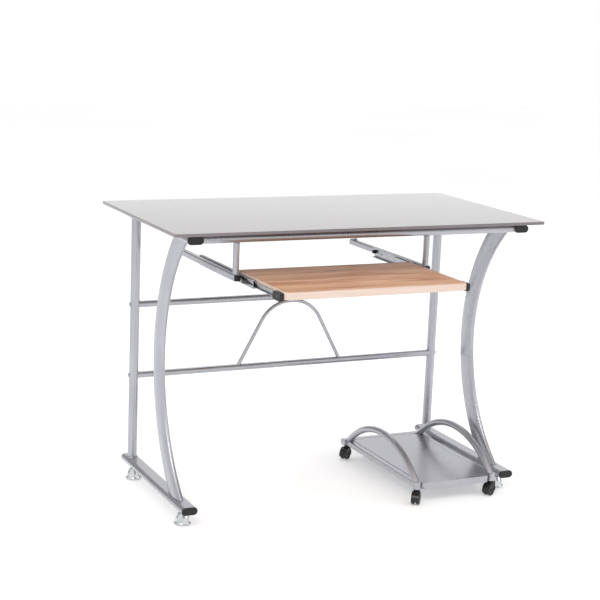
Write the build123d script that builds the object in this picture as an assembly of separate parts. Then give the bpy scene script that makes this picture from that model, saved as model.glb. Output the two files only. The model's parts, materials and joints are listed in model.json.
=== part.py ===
"""Glass computer desk on a welded steel-tube frame.

A tempered glass top lies on two side frames.  Each side frame is a flat-oval
top bar and foot bar joined by a round rear post and a bowed front leg.  Two
rails, two crossbars and a bent brace tie the frames together.  A keyboard tray
runs on ball-bearing slides between two hangers, and a rolling stand for a
computer case, made of the same tube, parks under the right-hand side.

Millimetres, +X to the right, +Y to the back, +Z up.  The desk is laid out
about the middle of its glass top, and every piece is moved by ORIGIN_Y when it
is written, so that the origin is on the floor at the middle of the whole set.
"""
import os

from build123d import *

# ---------------------------------------------------------------- glass top
TOP_WIDTH = 1050.0            # along X
TOP_DEPTH = 560.0             # along Y
TOP_HEIGHT = 750.0            # floor to the upper face of the glass
GLASS_THICK = 8.0
GLASS_CORNER_R = 8.0
GLASS_EDGE_CHAMFER = 1.0
PAD_THICK = 3.0               # clear pads between the glass and the bars
PAD_DIAMETER = 22.0
PAD_INSET = 60.0              # from the ends of the top bar

# --------------------------------------------------------------- side frames
SIDE_INSET = 61.0             # edge of the glass to the middle of a side frame
BAR_WIDTH = 42.0              # flat-oval tube of the bars and rails
BAR_HEIGHT = 20.0
BAR_WALL = 1.5
TOP_BAR_SETBACK = 22.0        # front edge of the glass to the front of the top bar
TOP_BAR_LENGTH = 463.0
FOOT_BAR_SETBACK = 15.0
FOOT_BAR_LENGTH = 465.0
FOOT_BAR_CLEARANCE = 38.0     # floor to the underside of the foot bar
POST_DIAMETER = 25.0          # round rear post
POST_WALL = 1.5
POST_FROM_BACK = 108.0        # back edge of the glass to the middle of the post
LEG_WIDTH = 24.0              # elliptical tube of the bowed front leg, seen from in front
LEG_DEPTH = 58.0              # and from the side
LEG_WALL = 1.5
LEG_TOP_FROM_FRONT = 108.0    # front edge of the glass to the leg's upper end
LEG_FOOT_FROM_FRONT = 99.0    # and to its lower end
LEG_BOW = 151.0               # how far the leg bows back from its chord
LEG_RUN_ON = 32.0             # past the middle of a bar, before the saddle is cut
PLUG_FACE = 4.0               # plastic end plugs
PLUG_ROUND_SHARE = 0.45       # rounding of the cap, as a share of its thickness
PLUG_SPIGOT = 18.0
PLUG_CLEARANCE = 0.1

# --------------------------------------------------- rails, crossbars, brace
RAIL_FRONT_SETBACK = 45.0     # front edge of the glass to the front rail
RAIL_REAR_SETBACK = 110.0     # back edge of the glass to the rear rail
CROSSBAR_DIAMETER = 18.0
CROSSBAR_WALL = 1.5
CROSSBAR_HEIGHTS = {"upper": 484.0, "lower": 288.0}
BRACE_DIAMETER = 10.0
BRACE_SPREAD = 320.0          # between its feet on the lower crossbar
BRACE_CROWN = 122.0           # between the corners of its crown
BRACE_RADIUS = 98.0
BOLT_RADIUS = 3.0
BOLT_CLEARANCE = 0.3
BOLT_REACH = 30.0             # into the end of the crossbar
BOLT_HEAD_RADIUS = 5.5
BOLT_HEAD_HEIGHT = 3.2

# ----------------------------------------------------------- levelling feet
FOOT_FROM_FRONT = 46.0        # front end of the foot bar to the front foot
FOOT_FROM_REAR = 44.0
BELL_HEIGHT = 29.0
BELL_RADIUS = 22.0
BELL_NECK_RADIUS = 12.5
BELL_WAIST_SHARE = 0.8        # radius halfway up, as a share of the base's
BELL_RIM = 5.0                # height of the rounded rim
STUD_SEAT_SHARE = 0.4         # how far up the bell the stud's seat lies
STUD_RADIUS = 4.0
STUD_CLEARANCE = 0.08
STUD_TOP_GAP = 3.0            # stud to the roof of the foot bar
LOCK_NUT_HEIGHT = 6.5
LOCK_NUT_RADIUS = 7.5
WELD_NUT_HEIGHT = 6.5

# ------------------------------------------------------------ keyboard tray
TRAY_WIDTH = 494.0
TRAY_DEPTH = 297.0
TRAY_THICK = 18.0
TRAY_CORNER_R = 16.0
TRAY_TOP_HEIGHT = 640.0
TRAY_OFFSET = -79.0           # the tray hangs left of the desk's middle
TRAY_OVERHANG = 207.0         # front edge of the glass to the drawn-out tray's
SLIDE_LENGTH = 220.0
SLIDE_NOSE = 40.0             # inner member's extra length in front, under a moulded nose
SLIDE_TRAVEL = 230.0
SLIDE_HEIGHT = 26.0
SLIDE_DEPTH = 13.0            # hanger bar to the side of the tray
SLIDE_SHEET = 1.2
SLIDE_BALL_GAP = 2.0          # raceway between one member and the next
SLIDE_STOP = 10.0             # round buffer at the rear end
SLIDE_STOP_GAP = 1.0
SLIDE_STOP_RISE = 2.0         # its middle above the slide's
SLIDE_TAIL = (14.0, 12.0)     # corner cut off the rear end, along and up
NOSE_HEIGHT = 20.0
NOSE_WALL = 3.0
NOSE_FACE = 2.5               # hanger bar to the outer face of the nose
NOSE_HOLE_RADIUS = 4.0
NOSE_CORNER_R = 5.0
HANGER_BAR = 16.0             # square tube that carries a slide
HANGER_BAR_R = 3.0
HANGER_POST_DIAMETER = 16.0
HANGER_WALL = 1.5
HANGER_DROP = 10.0            # tray's upper face to the hanger bar's middle
SCREW_RADIUS = 1.75
SCREW_HEAD_RADIUS = 3.2
SCREW_HEAD_HEIGHT = 1.6
SCREW_HEAD_GAP = 0.6          # to the middle member passing in front of it
SCREW_CLEARANCE = 0.15
SCREW_TIP = 4.0               # past the hanger bar's wall
SCREW_BITE = 14.0             # into the edge of the tray
SLIDE_SCREW_SHARES = (0.12, 0.5, 0.88)
TRAY_SCREW_INSET = 15.0       # from the ends of the inner member behind its nose
OUTER_LIP_GAP = 4.0           # outer member's edges to the tray
MIDDLE_LIP_GAP = 2.0          # middle member's edges to the tray

# ---------------------------------------------------- rolling computer stand
STAND_SIDE_GAP = 15.0         # from the stand's cap to the right foot bar
STAND_Y = -70.0               # middle of the stand, forward of the desk's middle
STAND_TRACK = 232.0           # between left and right casters
STAND_WHEELBASE = 410.0       # between front and rear casters
ARCH_DIAMETER = 18.0
ARCH_WALL = 1.5
ARCH_RISE = 86.0
ARCH_REAR_SINK = 6.0          # arch's rear end past the front face of the rear bar
SOCKET_DIAMETER = 20.0        # caster socket at the arch's front end
SOCKET_BOTTOM = 40.0
REAR_BAR_DEPTH = 24.0         # rear bar, with a caster under each end
REAR_BAR_LIP = 12.0           # its ends beyond the casters
REAR_BAR_R = 5.0
CAP_STEM_GAP = 3.0            # from a cap's spigot to the caster's stem
DECK_TOP = 58.0
DECK_SHEET = 1.5
DECK_FLANGE = 18.0
DECK_CORNER_R = 22.0
DECK_OVERHANG = 14.0          # in front of the front casters
SIDE_RAIL_WIDTH = 18.0
SIDE_RAIL_HEIGHT = 15.0
SIDE_RAIL_R = 2.5
SIDE_RAIL_DROP = 0.5          # below the deck's upper face

# ------------------------------------------------------------------ casters
WHEEL_RADIUS = 16.0
WHEEL_WIDTH = 8.0
CASTER_TRAIL = 10.0           # swivel axis to wheel axle
CASTER_TURN = {(-1, -1): -38.0, (1, -1): -60.0, (-1, 1): -52.0, (1, 1): -20.0}   # from trailing to the front
CASTER_WEB = 4.4              # web of the hood between the two wheels
WHEEL_SIDE_GAP = 0.5
HOOD_GAP = 1.0
HOOD_WALL = 2.0
HOOD_MOUTH = 11.0             # floor to the hood's open lower edge
WHEEL_EDGE_R = 1.6
AXLE_RADIUS = 2.5
STEM_RADIUS = 4.0
STEM_LENGTH = 12.0
RUNNING_CLEARANCE = 0.05
SWIVEL_GAP = 0.5              # hood to the socket above it

# ---------------------------------------------------------- derived layout
FRONT = -TOP_DEPTH / 2
BACK = TOP_DEPTH / 2
SIDE_X = TOP_WIDTH / 2 - SIDE_INSET
GLASS_BOTTOM = TOP_HEIGHT - GLASS_THICK
TOP_BAR_Z = GLASS_BOTTOM - PAD_THICK - BAR_HEIGHT / 2
TOP_BAR_UNDERSIDE = TOP_BAR_Z - BAR_HEIGHT / 2
TOP_BAR_Y = (FRONT + TOP_BAR_SETBACK, FRONT + TOP_BAR_SETBACK + TOP_BAR_LENGTH)
FOOT_BAR_Z = FOOT_BAR_CLEARANCE + BAR_HEIGHT / 2
FOOT_BAR_Y = (FRONT + FOOT_BAR_SETBACK, FRONT + FOOT_BAR_SETBACK + FOOT_BAR_LENGTH)
POST_Y = BACK - POST_FROM_BACK
RAIL_Y = {"front": FRONT + RAIL_FRONT_SETBACK, "rear": BACK - RAIL_REAR_SETBACK}
FOOT_Y = {"front": FOOT_BAR_Y[0] + FOOT_FROM_FRONT, "rear": FOOT_BAR_Y[1] - FOOT_FROM_REAR}
STAND_X = SIDE_X - BAR_WIDTH / 2 - STAND_SIDE_GAP - PLUG_FACE - REAR_BAR_LIP - STAND_TRACK / 2
SIDES = {"left": -1, "right": 1}

TRAY_FRONT = FRONT - TRAY_OVERHANG
TRAY_BACK = TRAY_FRONT + TRAY_DEPTH
HANGER_Z = TRAY_TOP_HEIGHT - HANGER_DROP
HANGER_REACH = TRAY_WIDTH / 2 + SLIDE_DEPTH + HANGER_BAR / 2
HANGER_BAR_Y = (RAIL_Y["front"] - HANGER_POST_DIAMETER / 2 - 2,
                RAIL_Y["rear"] + HANGER_POST_DIAMETER / 2 + 2)
SLIDE_Z = TRAY_TOP_HEIGHT - SLIDE_HEIGHT / 2
SLIDE_FRONT = HANGER_BAR_Y[0] + 2 + SLIDE_NOSE
INNER_FRONT = SLIDE_FRONT - SLIDE_TRAVEL - SLIDE_NOSE
ORIGIN_Y = (TRAY_FRONT + BACK) / 2


# ---------------------------------------------------------------- helpers
def along_x(profile, x0, x1, y, z):
    """Extrude a profile drawn in Y and Z from x0 to x1."""
    return extrude(Plane(origin=(x0, y, z), x_dir=(0, 1, 0), z_dir=(1, 0, 0)) * profile, amount=x1 - x0)


def along_y(profile, y0, y1, x, z):
    """Extrude a profile drawn in X and Z from y0 to y1."""
    return extrude(Plane(origin=(x, y0, z), x_dir=(1, 0, 0), z_dir=(0, 1, 0)) * profile, amount=y1 - y0)


def along_z(profile, z0, z1, x, y):
    """Extrude a profile drawn in X and Y from z0 to z1."""
    return extrude(Plane(origin=(x, y, z0)) * profile, amount=z1 - z0)


def largest(shape):
    """The largest solid of a shape, without the slivers a saddle cut leaves behind it."""
    return max(shape.solids(), key=lambda solid: solid.volume)


def oval(inset=0.0):
    """Flat-oval section of the bars, or the same section set in from its wall."""
    return SlotOverall(BAR_WIDTH - 2 * inset, BAR_HEIGHT - 2 * inset)


def write(name, *solids):
    """Write one node, moved so that the origin is under the middle of the set."""
    placed = [solid.moved(Location((0, -ORIGIN_Y, 0))) for solid in solids]
    shape = placed[0] if len(placed) == 1 else Compound(children=placed)
    export_step(shape, f"parts/{name}.step")


def sides(prefix, make):
    """Write one node for each side of the desk."""
    for side, sign in SIDES.items():
        write(f"{prefix}_{side}", make(sign))


# -------------------------------------------------------------- glass top
def glass_top():
    slab = along_z(RectangleRounded(TOP_WIDTH, TOP_DEPTH, GLASS_CORNER_R), GLASS_BOTTOM, TOP_HEIGHT, 0, 0)
    rims = slab.faces().sort_by(Axis.Z)[0].edges() + slab.faces().sort_by(Axis.Z)[-1].edges()
    return chamfer(rims, GLASS_EDGE_CHAMFER)


def glass_pads():
    spots = [(sign * SIDE_X, y) for sign in SIDES.values()
             for y in (TOP_BAR_Y[0] + PAD_INSET, TOP_BAR_Y[1] - PAD_INSET)]
    spots += [(0, y) for y in RAIL_Y.values()]
    return [along_z(Circle(PAD_DIAMETER / 2), GLASS_BOTTOM - PAD_THICK, GLASS_BOTTOM, x, y) for x, y in spots]


# ------------------------------------------------------------- side frames
def bar_envelope(sign, span, z):
    return along_y(oval(), *span, sign * SIDE_X, z)


def top_bar(sign):
    hollow = along_y(oval(BAR_WALL), *TOP_BAR_Y, sign * SIDE_X, TOP_BAR_Z)
    return bar_envelope(sign, TOP_BAR_Y, TOP_BAR_Z) - hollow


def foot_bar(sign):
    x = sign * SIDE_X
    bar = bar_envelope(sign, FOOT_BAR_Y, FOOT_BAR_Z)
    bar -= along_y(oval(BAR_WALL), *FOOT_BAR_Y, x, FOOT_BAR_Z)
    bore = Circle(STUD_RADIUS + BOLT_CLEARANCE)
    for y in FOOT_Y.values():
        bar -= along_z(bore, FOOT_BAR_CLEARANCE - 1, FOOT_BAR_Z, x, y)
    return bar


def frame_bars(sign):
    """Both bars of one side, solid, for cutting saddles in what is welded to them."""
    return bar_envelope(sign, TOP_BAR_Y, TOP_BAR_Z) + bar_envelope(sign, FOOT_BAR_Y, FOOT_BAR_Z)


def rear_post(sign):
    tube = Circle(POST_DIAMETER / 2) - Circle(POST_DIAMETER / 2 - POST_WALL)
    x = sign * SIDE_X
    post = along_z(tube, FOOT_BAR_Z, TOP_BAR_Z, x, POST_Y)
    bore = Circle(BOLT_RADIUS + BOLT_CLEARANCE)
    for z in CROSSBAR_HEIGHTS.values():
        post -= along_x(bore, x - POST_DIAMETER, x + POST_DIAMETER, POST_Y, z)
    return post - frame_bars(sign) - rail_envelope(RAIL_Y["rear"])


def leg_path(sign):
    """Arc of the bowed leg between the middles of its bars, run on past them for the saddles."""
    x = sign * SIDE_X
    top = Vector(x, FRONT + LEG_TOP_FROM_FRONT, TOP_BAR_Z)
    foot = Vector(x, FRONT + LEG_FOOT_FROM_FRONT, FOOT_BAR_Z)
    chord = foot - top
    outward = Vector(0, -chord.Z, chord.Y).normalized()
    arc = ThreePointArc(top, (top + foot) * 0.5 + outward * LEG_BOW, foot)
    above = Line(top - (arc % 0) * LEG_RUN_ON, top)
    below = Line(foot, foot + (arc % 1) * LEG_RUN_ON)
    return Wire([above, arc, below])


def swept(section, path, x_dir):
    return sweep(Plane(origin=path @ 0, x_dir=x_dir, z_dir=path % 0) * section, path=path)


def curved_leg(sign):
    outer = Ellipse(LEG_WIDTH / 2, LEG_DEPTH / 2)
    inner = Ellipse(LEG_WIDTH / 2 - LEG_WALL, LEG_DEPTH / 2 - LEG_WALL)
    path = leg_path(sign)
    leg = swept(outer, path, (1, 0, 0)) - swept(inner, path, (1, 0, 0))
    return largest(leg - frame_bars(sign))


def end_plug(section, spigot, x, y, z, heading, reach=PLUG_SPIGOT):
    """Rounded cap on the end of a tube, with a spigot inside it; heading 0 faces +Y, 90 faces -X."""
    cap = along_y(section, 0, PLUG_FACE, 0, 0)
    cap = fillet(cap.faces().sort_by(Axis.Y)[-1].edges(), PLUG_FACE * PLUG_ROUND_SHARE)
    plug = cap + along_y(spigot, -reach, 0, 0, 0)
    return plug.moved(Location((x, y, z), (0, 0, heading)))


def bar_plugs(span, z):
    spigot = oval(BAR_WALL + PLUG_CLEARANCE)
    return [end_plug(oval(), spigot, sign * SIDE_X, y, z, heading)
            for sign in SIDES.values() for y, heading in ((span[0], 180), (span[1], 0))]


# --------------------------------------------------- rails, crossbars, brace
def rail_envelope(y):
    return along_x(oval(), -SIDE_X, SIDE_X, y, TOP_BAR_Z)


def rail(y):
    tube = rail_envelope(y) - along_x(oval(BAR_WALL), -SIDE_X, SIDE_X, y, TOP_BAR_Z)
    for sign in SIDES.values():
        tube -= bar_envelope(sign, TOP_BAR_Y, TOP_BAR_Z)
    return tube


def post_envelope(sign):
    return along_z(Circle(POST_DIAMETER / 2), FOOT_BAR_Z, TOP_BAR_Z, sign * SIDE_X, POST_Y)


def crossbar(z):
    """Round tube between the rear posts, with a tapped slug in each end."""
    bore = CROSSBAR_DIAMETER / 2 - CROSSBAR_WALL
    slug_inner = SIDE_X - POST_DIAMETER / 2 - BOLT_REACH - 2
    bar = along_x(Circle(CROSSBAR_DIAMETER / 2), -SIDE_X, SIDE_X, POST_Y, z)
    bar -= along_x(Circle(bore), -slug_inner, slug_inner, POST_Y, z)
    bar -= along_x(Circle(BOLT_RADIUS), -SIDE_X, SIDE_X, POST_Y, z)
    for sign in SIDES.values():
        bar -= post_envelope(sign)
    return bar


def crossbar_bolt(sign, z):
    """Button-head bolt through a rear post, its head shaped to the round tube."""
    shank_end = SIDE_X - POST_DIAMETER / 2 - BOLT_REACH
    head_out = SIDE_X + POST_DIAMETER / 2 + BOLT_HEAD_HEIGHT
    head = along_x(Circle(BOLT_HEAD_RADIUS), sign * SIDE_X, sign * head_out, POST_Y, z)
    rim = head.faces().sort_by(Axis.X)[-1 if sign > 0 else 0].edges()
    head = fillet(rim, BOLT_HEAD_HEIGHT * 0.5) - post_envelope(sign)
    socket_in = head_out - BOLT_HEAD_HEIGHT * 0.55
    head -= along_x(RegularPolygon(2.0, 6), sign * socket_in, sign * (head_out + 1), POST_Y, z)
    return head + along_x(Circle(BOLT_RADIUS), sign * shank_end, sign * (socket_in - 0.2), POST_Y, z)


def brace():
    """Rod bent to a rounded peak, standing on one crossbar and welded under the other."""
    low, high = CROSSBAR_HEIGHTS["lower"], CROSSBAR_HEIGHTS["upper"]
    crown = high - (CROSSBAR_DIAMETER + BRACE_DIAMETER) / 2
    foot, peak = BRACE_SPREAD / 2, BRACE_CROWN / 2
    corners = [(-foot, low), (-peak, crown), (peak, crown), (foot, low)]
    path = FilletPolyline(*[(x, POST_Y, z) for x, z in corners], radius=BRACE_RADIUS)
    rod = swept(Circle(BRACE_DIAMETER / 2), path, (0, 1, 0))
    for z in (low, high):
        rod -= along_x(Circle(CROSSBAR_DIAMETER / 2), -SIDE_X, SIDE_X, POST_Y, z)
    return rod


# ----------------------------------------------------------- levelling feet
def foot_bell(x, y):
    """Bell-shaped glide, flared at the floor, with a bore for the stud."""
    rim = (BELL_RADIUS - 0.6, BELL_RIM)
    waist = (BELL_RADIUS * BELL_WAIST_SHARE, BELL_HEIGHT / 2)
    neck = (BELL_NECK_RADIUS, BELL_HEIGHT)
    profile = Polyline((0, 0), (BELL_RADIUS - 2, 0), (BELL_RADIUS, BELL_RIM / 2), rim)
    flank = Spline(rim, waist, neck, tangents=((-0.35, 1), (-0.4, 1)))
    close = Polyline(neck, (0, BELL_HEIGHT), (0, 0))
    bell = revolve(Plane.XZ * make_face(profile + flank + close), Axis.Z)
    bell -= along_z(Circle(STUD_RADIUS), BELL_HEIGHT * STUD_SEAT_SHARE, BELL_HEIGHT, 0, 0)
    return bell.moved(Location((x, y, 0)))


def foot_stud(x, y):
    """Threaded stud set in the bell, with its lock nut."""
    stud_top = FOOT_BAR_Z + BAR_HEIGHT / 2 - BAR_WALL - STUD_TOP_GAP
    stud = along_z(Circle(STUD_RADIUS), BELL_HEIGHT * STUD_SEAT_SHARE, stud_top, x, y)
    nut = along_z(RegularPolygon(LOCK_NUT_RADIUS, 6), BELL_HEIGHT, BELL_HEIGHT + LOCK_NUT_HEIGHT, x, y)
    return chamfer(stud.edges().sort_by(Axis.Z)[-1], 0.8) + nut


def weld_nut(x, y):
    floor = FOOT_BAR_CLEARANCE + BAR_WALL
    bore = Circle(STUD_RADIUS + STUD_CLEARANCE)
    return along_z(RegularPolygon(LOCK_NUT_RADIUS, 6) - bore, floor, floor + WELD_NUT_HEIGHT, x, y)


# ------------------------------------------------------------ keyboard tray
def hanger_x(sign):
    return TRAY_OFFSET + sign * HANGER_REACH


def hanger_bar(sign):
    outer = RectangleRounded(HANGER_BAR, HANGER_BAR, HANGER_BAR_R)
    bore = HANGER_BAR - 2 * HANGER_WALL
    inner = RectangleRounded(bore, bore, HANGER_BAR_R - HANGER_WALL)
    bar = along_y(outer - inner, *HANGER_BAR_Y, hanger_x(sign), HANGER_Z)
    for y in slide_screw_ys(SLIDE_FRONT):
        bar -= hanger_screw(sign, y, SCREW_CLEARANCE)
    return bar


def hanger_plugs():
    outer = RectangleRounded(HANGER_BAR, HANGER_BAR, HANGER_BAR_R)
    width = HANGER_BAR - 2 * (HANGER_WALL + PLUG_CLEARANCE)
    spigot = RectangleRounded(width, width, HANGER_BAR_R - HANGER_WALL)
    return [end_plug(outer, spigot, hanger_x(sign), y, HANGER_Z, heading)
            for sign in SIDES.values() for y, heading in ((HANGER_BAR_Y[0], 180), (HANGER_BAR_Y[1], 0))]


def hanger_post(sign, y):
    tube = Circle(HANGER_POST_DIAMETER / 2) - Circle(HANGER_POST_DIAMETER / 2 - HANGER_WALL)
    section = RectangleRounded(HANGER_BAR, HANGER_BAR, HANGER_BAR_R)
    bar = along_y(section, *HANGER_BAR_Y, hanger_x(sign), HANGER_Z)
    post = along_z(tube, HANGER_Z, TOP_BAR_Z, hanger_x(sign), y)
    return post - bar - rail_envelope(y)


def slide_x(sign, depth):
    """X of a point at a depth from the hanger bar's inner face towards the tray."""
    return hanger_x(sign) - sign * (HANGER_BAR / 2 + depth)


def channel(sign, half_height, back, edge, y0, length):
    """C-shaped slide member: its back plate at one depth, its flanges reaching to another."""
    web_in, web_out = (back, back + SLIDE_SHEET) if edge > back else (back - SLIDE_SHEET, back)

    def slab(depth_a, depth_b, z_low, z_high):
        x0, x1 = sorted((slide_x(sign, depth_a), slide_x(sign, depth_b)))
        size = (x1 - x0, length, z_high - z_low)
        return Pos((x0 + x1) / 2, y0 + length / 2, SLIDE_Z + (z_low + z_high) / 2) * Box(*size)

    member = slab(web_in, web_out, -half_height, half_height)
    member += slab(back, edge, half_height - SLIDE_SHEET, half_height)
    member += slab(back, edge, -half_height, SLIDE_SHEET - half_height)
    return member


OUTER_HALF = SLIDE_HEIGHT / 2
MIDDLE_HALF = OUTER_HALF - SLIDE_SHEET - SLIDE_BALL_GAP
INNER_HALF = MIDDLE_HALF - SLIDE_SHEET - SLIDE_BALL_GAP
MIDDLE_BACK = SLIDE_SHEET + SCREW_HEAD_HEIGHT + SCREW_HEAD_GAP


def slide_screw_ys(front):
    return [front + SLIDE_LENGTH * share for share in SLIDE_SCREW_SHARES]


def hanger_screw(sign, y, grow=0.0):
    """Screw along X through the outer member into the hanger bar, its head inside the slide."""
    head_end = SLIDE_SHEET + SCREW_HEAD_HEIGHT
    return slide_screw(sign, y, (SLIDE_SHEET, head_end), (head_end, -HANGER_WALL - SCREW_TIP), grow)


def tray_screw(sign, y, grow=0.0):
    """Screw along X through the inner member into the edge of the tray."""
    seat = SLIDE_DEPTH - SLIDE_SHEET
    head_end = seat - SCREW_HEAD_HEIGHT
    return slide_screw(sign, y, (seat, head_end), (head_end, seat + SCREW_BITE), grow)


def slide_screw(sign, y, head, shank, grow):
    """Pan-head screw between depths; a larger shank alone makes its hole."""
    start, end = (slide_x(sign, depth) for depth in shank)
    screw = along_x(Circle(SCREW_RADIUS + grow), start, end, y, SLIDE_Z)
    if grow:
        return screw
    start, end = (slide_x(sign, depth) for depth in head)
    return screw + along_x(Circle(SCREW_HEAD_RADIUS), start, end, y, SLIDE_Z)


def slide_outer(sign):
    """Member fixed to the hanger bar, with the lower corner of its rear end cut off."""
    length = SLIDE_LENGTH + SLIDE_STOP_GAP + SLIDE_STOP
    member = channel(sign, OUTER_HALF, 0, SLIDE_DEPTH - OUTER_LIP_GAP, SLIDE_FRONT, length)
    along, up = SLIDE_TAIL
    corner = Polygon((0, 0), (-along, 0), (0, up), align=None)
    x0, x1 = sorted((slide_x(sign, 0), slide_x(sign, SLIDE_DEPTH)))
    member -= along_x(corner, x0, x1, SLIDE_FRONT + length, SLIDE_Z - OUTER_HALF)
    for y in slide_screw_ys(SLIDE_FRONT):
        member -= hanger_screw(sign, y, SCREW_CLEARANCE)
    return member


def slide_middle(sign):
    front = SLIDE_FRONT - SLIDE_TRAVEL / 2
    edge = SLIDE_DEPTH - MIDDLE_LIP_GAP
    return channel(sign, MIDDLE_HALF, MIDDLE_BACK, edge, front, SLIDE_LENGTH)


def slide_inner(sign):
    length = SLIDE_LENGTH + SLIDE_NOSE
    member = channel(sign, INNER_HALF, SLIDE_DEPTH, SLIDE_DEPTH / 2, INNER_FRONT, length)
    for y in tray_screw_ys():
        member -= tray_screw(sign, y, SCREW_CLEARANCE)
    return member


def slide_stop(sign):
    """Round rubber buffer at the rear end of the outer member."""
    x0, x1 = sorted((slide_x(sign, SLIDE_SHEET), slide_x(sign, SLIDE_DEPTH - OUTER_LIP_GAP)))
    y = SLIDE_FRONT + SLIDE_LENGTH + SLIDE_STOP_GAP + SLIDE_STOP / 2
    return along_x(Circle(SLIDE_STOP / 2), x0, x1, y, SLIDE_Z + SLIDE_STOP_RISE)


def slide_nose(sign):
    """Moulded nose over the front end of the inner member, with a round window in its side."""
    length = SLIDE_NOSE + NOSE_WALL - SLIDE_STOP_GAP
    middle = INNER_FRONT - NOSE_WALL + length / 2
    x0, x1 = sorted((slide_x(sign, NOSE_FACE), slide_x(sign, SLIDE_DEPTH)))
    shell = RectangleRounded(length, NOSE_HEIGHT, NOSE_CORNER_R)
    nose = along_x(shell, x0, x1, middle, SLIDE_Z)
    a, b = sorted((slide_x(sign, SLIDE_DEPTH / 2), slide_x(sign, SLIDE_DEPTH)))
    nose -= along_x(Rectangle(length, 2 * INNER_HALF), a, b, middle + NOSE_WALL, SLIDE_Z)
    return nose - along_x(Circle(NOSE_HOLE_RADIUS), x0, x1, middle, SLIDE_Z)


def tray_screw_ys():
    """Screws of the inner members, kept behind their noses."""
    start = INNER_FRONT + SLIDE_NOSE + TRAY_SCREW_INSET
    end = INNER_FRONT + SLIDE_NOSE + SLIDE_LENGTH - TRAY_SCREW_INSET
    return [start, (start + end) / 2, end]


def tray_board():
    board = along_z(Rectangle(TRAY_WIDTH, TRAY_DEPTH), TRAY_TOP_HEIGHT - TRAY_THICK, TRAY_TOP_HEIGHT,
                    TRAY_OFFSET, (TRAY_FRONT + TRAY_BACK) / 2)
    front_corners = board.edges().filter_by(Axis.Z).sort_by(Axis.Y)[:2]
    board = fillet(front_corners, TRAY_CORNER_R)
    for sign in SIDES.values():
        for y in tray_screw_ys():
            board -= tray_screw(sign, y, SCREW_CLEARANCE)
    return board


# ---------------------------------------------------- rolling computer stand
def stand_corner(sign, end):
    """Swivel axis of one caster: sign -1 left, +1 right; end -1 front, +1 rear."""
    return STAND_X + sign * STAND_TRACK / 2, STAND_Y + end * STAND_WHEELBASE / 2


def stem_bore(x, y):
    bore = Circle(STEM_RADIUS + RUNNING_CLEARANCE)
    return along_z(bore, SOCKET_BOTTOM - 1, SOCKET_BOTTOM + STEM_LENGTH + 1, x, y)


def stand_socket(sign):
    x, y = stand_corner(sign, -1)
    return along_z(Circle(SOCKET_DIAMETER / 2), SOCKET_BOTTOM, SOCKET_BOTTOM + SOCKET_DIAMETER, x, y)


def stand_rear_envelope():
    (x_left, y), (x_right, _) = stand_corner(-1, 1), stand_corner(1, 1)
    section = RectangleRounded(REAR_BAR_DEPTH, DECK_TOP - SOCKET_BOTTOM, REAR_BAR_R)
    middle = (SOCKET_BOTTOM + DECK_TOP) / 2
    return along_x(section, x_left - REAR_BAR_LIP, x_right + REAR_BAR_LIP, y, middle)


def arch_sweep(sign, radius):
    """Tube along the arch, from the front socket into the rear bar."""
    x, y_front = stand_corner(sign, -1)
    y_rear = stand_corner(sign, 1)[1] - REAR_BAR_DEPTH / 2 + ARCH_REAR_SINK
    z = SOCKET_BOTTOM + SOCKET_DIAMETER / 2
    path = ThreePointArc((x, y_front, z), (x, (y_front + y_rear) / 2, z + ARCH_RISE), (x, y_rear, z))
    return swept(Circle(radius), path, (1, 0, 0))


def stand_arch(sign):
    """Bowed tube over the side of the stand, with a caster socket at its front end."""
    socket = stand_socket(sign)
    arch = arch_sweep(sign, ARCH_DIAMETER / 2) + socket
    arch -= arch_sweep(sign, ARCH_DIAMETER / 2 - ARCH_WALL) - socket
    return arch - stem_bore(*stand_corner(sign, -1)) - stand_rear_envelope()


def stand_side_rail(sign):
    """Bar under the arch, between the front socket and the rear bar."""
    x, y_front = stand_corner(sign, -1)
    y_rear = stand_corner(sign, 1)[1] - REAR_BAR_DEPTH / 2
    z = DECK_TOP - SIDE_RAIL_DROP - SIDE_RAIL_HEIGHT / 2
    bar = along_y(RectangleRounded(SIDE_RAIL_WIDTH, SIDE_RAIL_HEIGHT, SIDE_RAIL_R), y_front, y_rear, x, z)
    return largest(bar - arch_sweep(sign, ARCH_DIAMETER / 2) - stand_socket(sign))


def stand_deck():
    """Folded sheet that carries the computer, with its edge turned down in front and behind."""
    width = STAND_TRACK - SIDE_RAIL_WIDTH
    y0 = stand_corner(1, -1)[1] - DECK_OVERHANG
    y1 = stand_corner(1, 1)[1] - REAR_BAR_DEPTH / 2
    middle = (y0 + y1) / 2
    outline = RectangleRounded(width, y1 - y0, DECK_CORNER_R)
    deck = along_z(outline, DECK_TOP - DECK_FLANGE, DECK_TOP, STAND_X, middle)
    under = RectangleRounded(width - 2 * DECK_SHEET, y1 - y0 - 2 * DECK_SHEET, DECK_CORNER_R - DECK_SHEET)
    deck -= along_z(under, DECK_TOP - DECK_FLANGE, DECK_TOP - DECK_SHEET, STAND_X, middle)
    for sign in SIDES.values():
        # no turned-down edge along the side rails
        size = (SIDE_RAIL_WIDTH, STAND_WHEELBASE - 2 * SOCKET_DIAMETER, DECK_FLANGE)
        edge = (STAND_X + sign * width / 2, STAND_Y, DECK_TOP - DECK_SHEET - DECK_FLANGE / 2)
        deck -= Pos(*edge) * Box(*size)
        deck -= arch_sweep(sign, ARCH_DIAMETER / 2) + stand_socket(sign)
    return deck


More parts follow.
